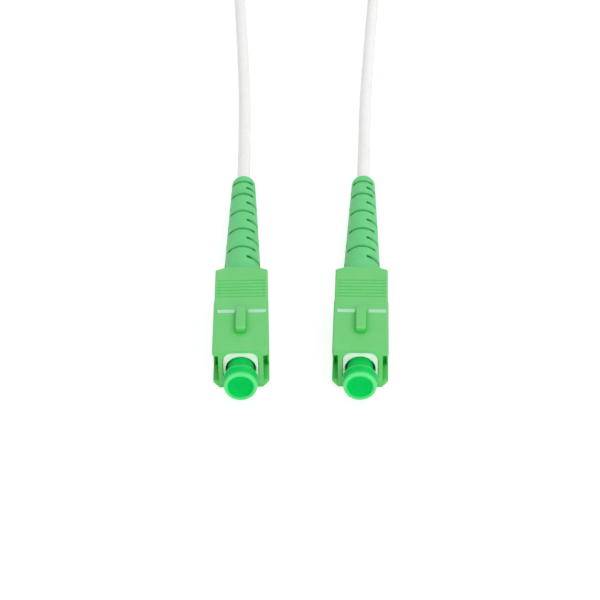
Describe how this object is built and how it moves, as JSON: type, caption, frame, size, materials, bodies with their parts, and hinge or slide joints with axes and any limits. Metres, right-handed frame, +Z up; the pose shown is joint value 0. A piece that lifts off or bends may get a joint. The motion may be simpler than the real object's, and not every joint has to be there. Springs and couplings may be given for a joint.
{
  "type": "fibre optic patch cord",
  "caption": "Fibre optic patch cord: thin round white cable with a green square push-pull plug, slotted boot and dust cap at each end.",
  "frame": {"origin": "on the table under the middle of the two plugs", "axes": "+Y back along the plugs towards the boots and cable, +Z up through the keys, +X across from the left plug to the right one"},
  "size_m": [0.0334, 0.1941, 0.0084],
  "materials": {
    "grip_green": "moulded, satin",
    "mark_white": "printed",
    "frame_white": "moulded",
    "ferrule_ceramic": "ground ceramic",
    "collar_metal": "nickel plated",
    "spring_steel": "drawn wire",
    "stop_ring_metal": "turned",
    "yarn_yellow": "loose yarn",
    "crimp_metal": "crimped",
    "guide_clear": "extruded",
    "fibre_buffer": "coated",
    "jacket_white": "extruded, satin",
    "boot_green": "moulded, satin",
    "cap_green": "moulded, soft"
  },
  "bodies": {
    "cord": {"plug_frame_left": "frame_white", "plug_frame_right": "frame_white", "spring_left": "spring_steel", "spring_right": "spring_steel", "stop_ring_left": "stop_ring_metal", "stop_ring_right": "stop_ring_metal", "aramid_yarn_left": "yarn_yellow", "aramid_yarn_right": "yarn_yellow", "crimp_ring_left": "crimp_metal", "crimp_ring_right": "crimp_metal", "guide_tube_left": "guide_clear", "guide_tube_right": "guide_clear", "cable_end_left": "jacket_white", "cable_end_right": "jacket_white", "boot_left": "boot_green", "boot_right": "boot_green", "cable_lead_left": "jacket_white", "cable_lead_right": "jacket_white", "cable_coil": "jacket_white"},
    "grip_left": {"grip_left": "grip_green", "index_marks_left": "mark_white"},
    "ferrule_left": {"ferrule_left": "ferrule_ceramic", "ferrule_collar_left": "collar_metal", "fibre_left": "fibre_buffer"},
    "cap_left": {"dust_cap_left": "cap_green"},
    "grip_right": {"grip_right": "grip_green", "index_marks_right": "mark_white"},
    "ferrule_right": {"ferrule_right": "ferrule_ceramic", "ferrule_collar_right": "collar_metal", "fibre_right": "fibre_buffer"},
    "cap_right": {"dust_cap_right": "cap_green"}
  },
  "joints": [
    {"name": "grip_slide_left", "type": "slide", "parent": "cord", "child": "grip_left", "axis": [-0.0279, 0.9996, 0], "range_m": [0, 0.0015]},
    {"name": "ferrule_slide_left", "type": "slide", "parent": "cord", "child": "ferrule_left", "axis": [-0.0279, 0.9996, 0], "range_m": [0, 0.0015], "stiffness_N_per_m": 2500, "deforming": ["spring_left"]},
    {"name": "cap_slide_left", "type": "slide", "parent": "ferrule_left", "child": "cap_left", "axis": [0.0279, -0.9996, 0], "range_m": [0, 0.02]},
    {"name": "grip_slide_right", "type": "slide", "parent": "cord", "child": "grip_right", "axis": [0.0279, 0.9996, 0], "range_m": [0, 0.0015]},
    {"name": "ferrule_slide_right", "type": "slide", "parent": "cord", "child": "ferrule_right", "axis": [0.0279, 0.9996, 0], "range_m": [0, 0.0015], "stiffness_N_per_m": 2500, "deforming": ["spring_right"]},
    {"name": "cap_slide_right", "type": "slide", "parent": "ferrule_right", "child": "cap_right", "axis": [-0.0279, -0.9996, 0], "range_m": [0, 0.02]}
  ]
}
